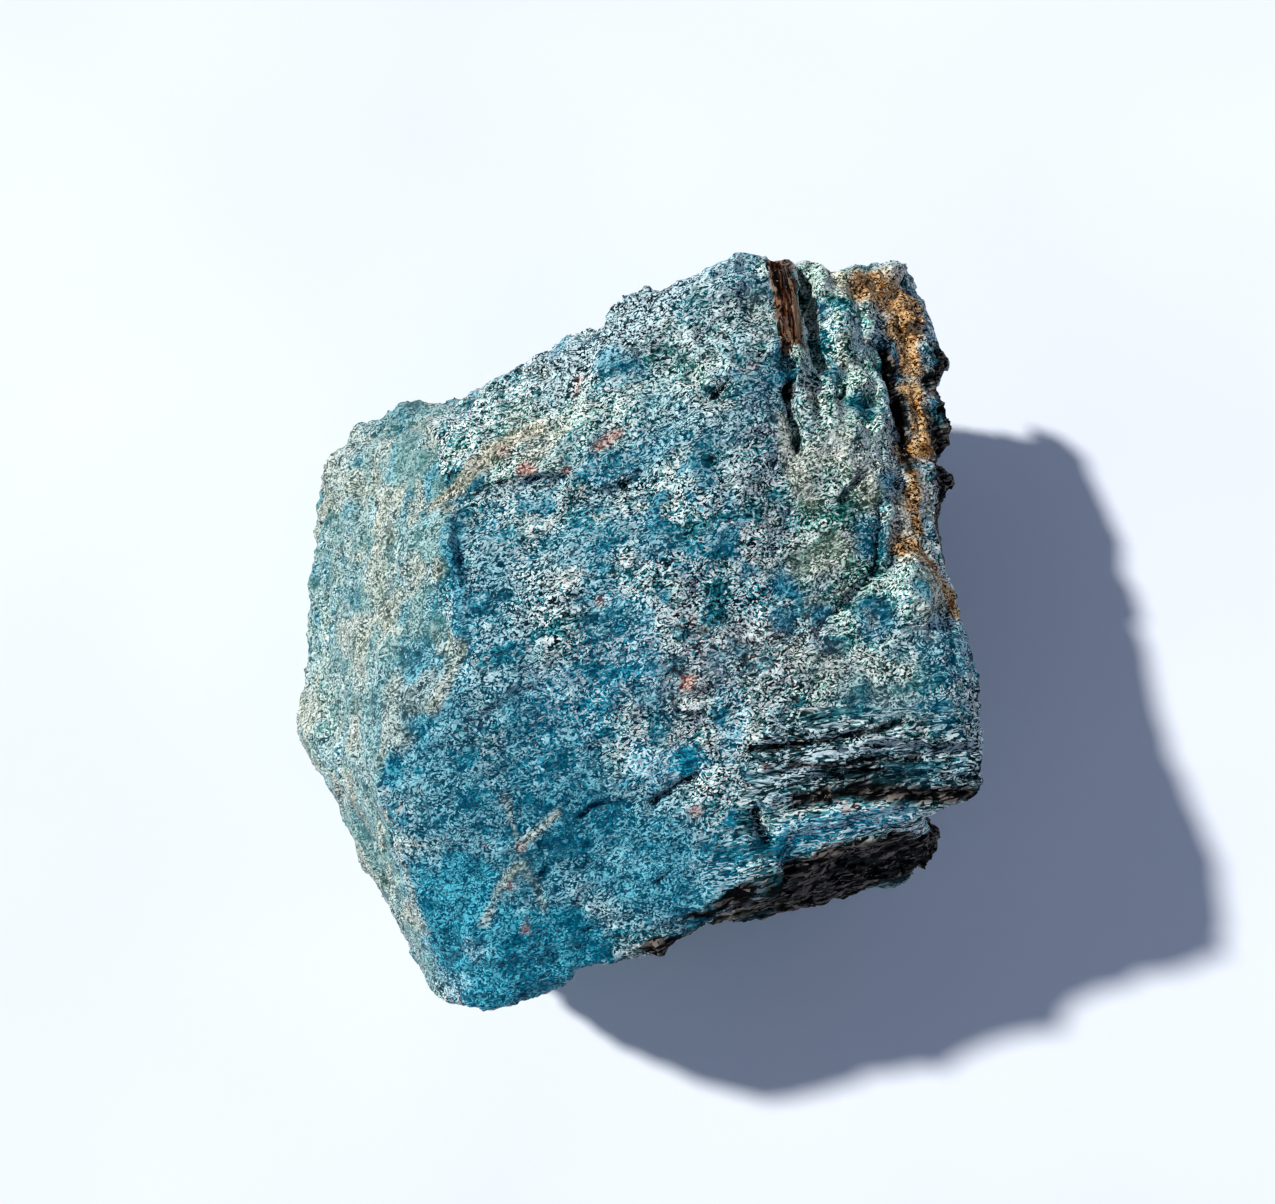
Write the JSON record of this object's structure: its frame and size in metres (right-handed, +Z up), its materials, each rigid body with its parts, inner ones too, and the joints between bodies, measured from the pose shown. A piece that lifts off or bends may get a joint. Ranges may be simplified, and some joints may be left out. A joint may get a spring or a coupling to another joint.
{
  "type": "rough apatite stone",
  "caption": "Rough broken chunk of sugary sea-blue apatite rock with a domed top face, a stepped corner with a rusty seam, dark layered edges and a flat break it rests on.",
  "frame": {"origin": "on the floor, under the middle of the outline's box, at the flat break that the stone rests on", "axes": "+Z up from the flat break to the crown of the top face, +Y along the longest side, towards the far edge in the picture, +X across, towards the stepped rusty side"},
  "size_m": [0.0624, 0.0666, 0.0395],
  "materials": {
    "apatite": "massive granular blue apatite: sugary sparkling grains in teal, deep blue and grey-white, with rust-brown seams, green-tan stains and black mica layers"
  },
  "bodies": {
    "root": {"rough_apatite": "apatite"}
  },
  "joints": []
}
